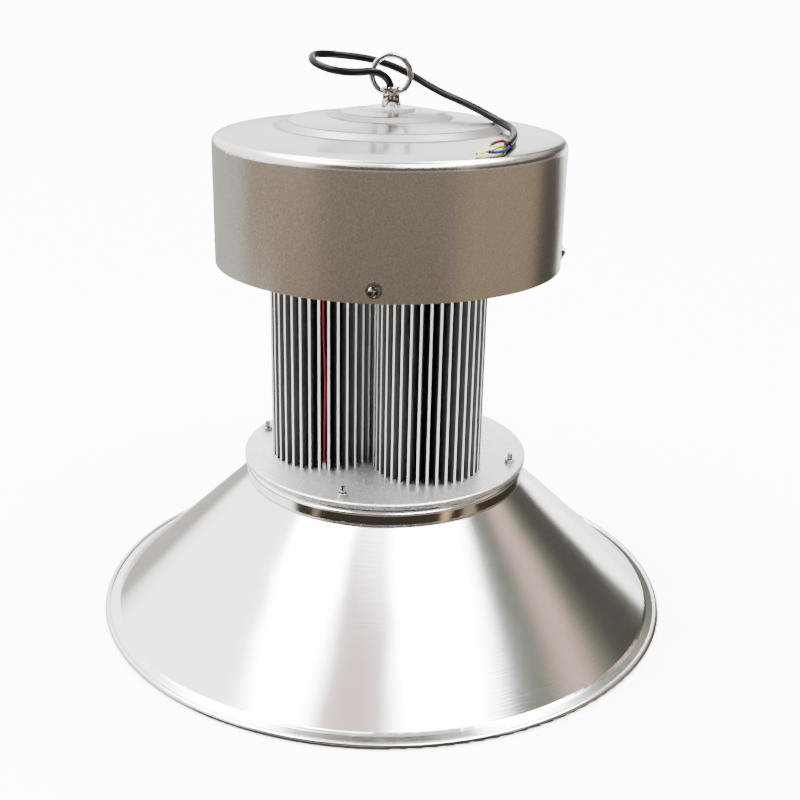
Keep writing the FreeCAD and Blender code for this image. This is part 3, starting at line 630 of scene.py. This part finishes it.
# %% Floor
floor_reach = 45.0
floor_corners = [(-floor_reach, -floor_reach, 0), (floor_reach, -floor_reach, 0),
                 (floor_reach, floor_reach, 0), (-floor_reach, floor_reach, 0)]
floor_mesh = bpy.data.meshes.new("floor")
floor_mesh.from_pydata(floor_corners, [], [(0, 1, 2, 3)])
floor = bpy.data.objects.new("floor", floor_mesh)
bpy.context.scene.collection.objects.link(floor)
floor_finish = Finish("pale_floor", Roughness=0.6, Base_Color=colour(0.92, 0.92, 0.92))
floor_mesh.materials.append(floor_finish.material)
floor.visible_glossy = False
print("floor:", 2 * floor_reach, "m square")

# %% [markdown]
# ## Directions in the studio
#
# Polished metal has no look of its own: it shows the room.  So the room is described by
# direction, with two angles in degrees.  The bearing counts to the right from the front, and the
# height counts up from the horizon.  A panel covers a part of the room, with soft edges.

# %% Bearing, height and a panel between them
world = bpy.data.worlds.new("soft_studio")
bpy.context.scene.world = world
world.use_nodes = True
surroundings = world.node_tree.nodes["Background"]
heading = Value(world.node_tree.nodes.new("ShaderNodeTexCoord").outputs["Generated"])
east, north, up = heading.axes()
to_degrees = 57.2958
bearing = east.math("ARCTAN2", east, -north) * to_degrees
height = up.math("ARCSINE", up) * to_degrees


def panel(left, right, low, high, blur):
    """1 on that part of the room, between two bearings and two heights, and 0 outside it."""
    inside = bearing.between(left - blur, left + blur)
    inside = inside * (1.0 - bearing.between(right - blur, right + blur))
    inside = inside * height.between(low - blur, low + blur)
    return inside * (1.0 - height.between(high - blur, high + blur))


print("the studio is described by bearing and height")

# %% [markdown]
# ## The room's shades
#
# The numbers are brightness.  A glazed roof is far brighter than white paint, and the boards
# round the bench are warm and dark.

# %% Shades of the room
glazing = colour(24, 24, 24)
lamp_cloth = colour(9, 9, 9)
white_paint = colour(4, 3.9, 3.9)
pale_wall = colour(3, 3, 3)
rosy_wall = colour(1.5, 1.1, 1.05)
ceiling_paint = colour(1.1, 1.1, 1.1)
cream_board = colour(0.8, 0.75, 0.7)
shelf_wood = colour(1.0, 0.7, 0.6)
brass_edge = colour(0.9, 0.65, 0.35)
warm_board = colour(0.45, 0.35, 0.25)
brown_board = colour(0.3, 0.25, 0.2)
green_board = colour(0.2, 0.22, 0.17)
black_cloth = colour(0.1, 0.09, 0.08)
under_bench = colour(0.05, 0.04, 0.03)
print("shades of the room are ready")

# %% [markdown]
# ## The room, panel by panel
#
# The panels lie over one another in this order, each with its own soft edge.  The cone shows
# what stands above the horizon: white on the left, dark boards with one shelf on the right, and
# a rosy wall between two bright windows in front.  The upright cover shows the boards just below
# the horizon, and the shade's narrow collar shows what is under the bench.

# %% Panels from the widest to the narrowest
everywhere = (-200, 200)
room = [
    (everywhere, (-100, 100), 1, pale_wall),
    ((-160, 160), (46, 100), 3, glazing),
    ((-160, -52), (0, 45), 3, white_paint),
    ((52, 165), (0, 50), 4, green_board),
    ((50, 150), (28, 37), 4, shelf_wood),
    ((50, 150), (5, 22), 4, black_cloth),
    ((-40, 10), (40, 70), 9, rosy_wall),
    (everywhere, (-100, 1), 4, warm_board),
    ((-200, -105), (-25, 1), 10, cream_board),
    ((-45, 45), (-25, 1), 10, brown_board),
    ((110, 148), (-25, 1), 10, black_cloth),
    ((150, 200), (-25, 1), 4, pale_wall),
    ((-80, 145), (-45, -20), 2, under_bench),
    ((-200, -80), (-45, -20), 5, pale_wall),
    ((-60, -55), (-45, -20), 3, warm_board),
    ((48, 55), (-45, -20), 3, brass_edge),
    ((68, 80), (-45, -20), 4, warm_board),
    (everywhere, (70, 100), 3, ceiling_paint),
    ((-50, 50), (2, 44), 6, black_cloth),
    ((-50, 50), (73, 78), 3, lamp_cloth),
    ((140, 157), (-8, 5), 3, white_paint),
    (everywhere, (-100, -36), 6, black_cloth),
]
light = pale_wall
for (left, right), (low, high), blur, shade in room:
    light = panel(left, right, low, high, blur).mix(light, shade)

backdrop = Value(world.node_tree.nodes.new("ShaderNodeLightPath").outputs["Is Camera Ray"])
light = backdrop.mix(light, pale_wall)
world.node_tree.links.new(light.socket, surroundings.inputs["Color"])
surroundings.inputs["Strength"].default_value = 1.0
print("the room:", len(room), "panels")

# %% [markdown]
# ## Light from the ceiling, and the camera
#
# One very soft light from above brightens the floor, the plastics and the rubber.  It is left
# out of the reflections, because the room already has its own lights there.  The camera stands
# a metre in front and looks down by twenty degrees.

# %% Ceiling light and camera
ceiling_data = bpy.data.lights.new("ceiling_light", "SUN")
ceiling_data.energy = 26.0
ceiling_data.angle = math.radians(100)
ceiling = bpy.data.objects.new("ceiling_light", ceiling_data)
ceiling.location = (0, 0, 2)
bpy.context.scene.collection.objects.link(ceiling)
ceiling.visible_glossy = False

camera_data = bpy.data.cameras.new("camera")
camera_data.lens = 54.13
camera_data.sensor_width = 36.0
camera = bpy.data.objects.new("camera", camera_data)
camera_place = (0.0, -0.9568, 0.5305)
look_right, look_down, lean = -0.714, 20.32, 1.20
turn = Matrix.Rotation(math.radians(look_right), 4, "Z")
tilt = Matrix.Rotation(math.radians(90.0 - look_down), 4, "X")
roll = Matrix.Rotation(math.radians(lean), 4, "Z")
camera.matrix_world = Matrix.Translation(camera_place) @ turn @ tilt @ roll
bpy.context.scene.collection.objects.link(camera)
bpy.context.scene.camera = camera
print("camera at", camera_place)
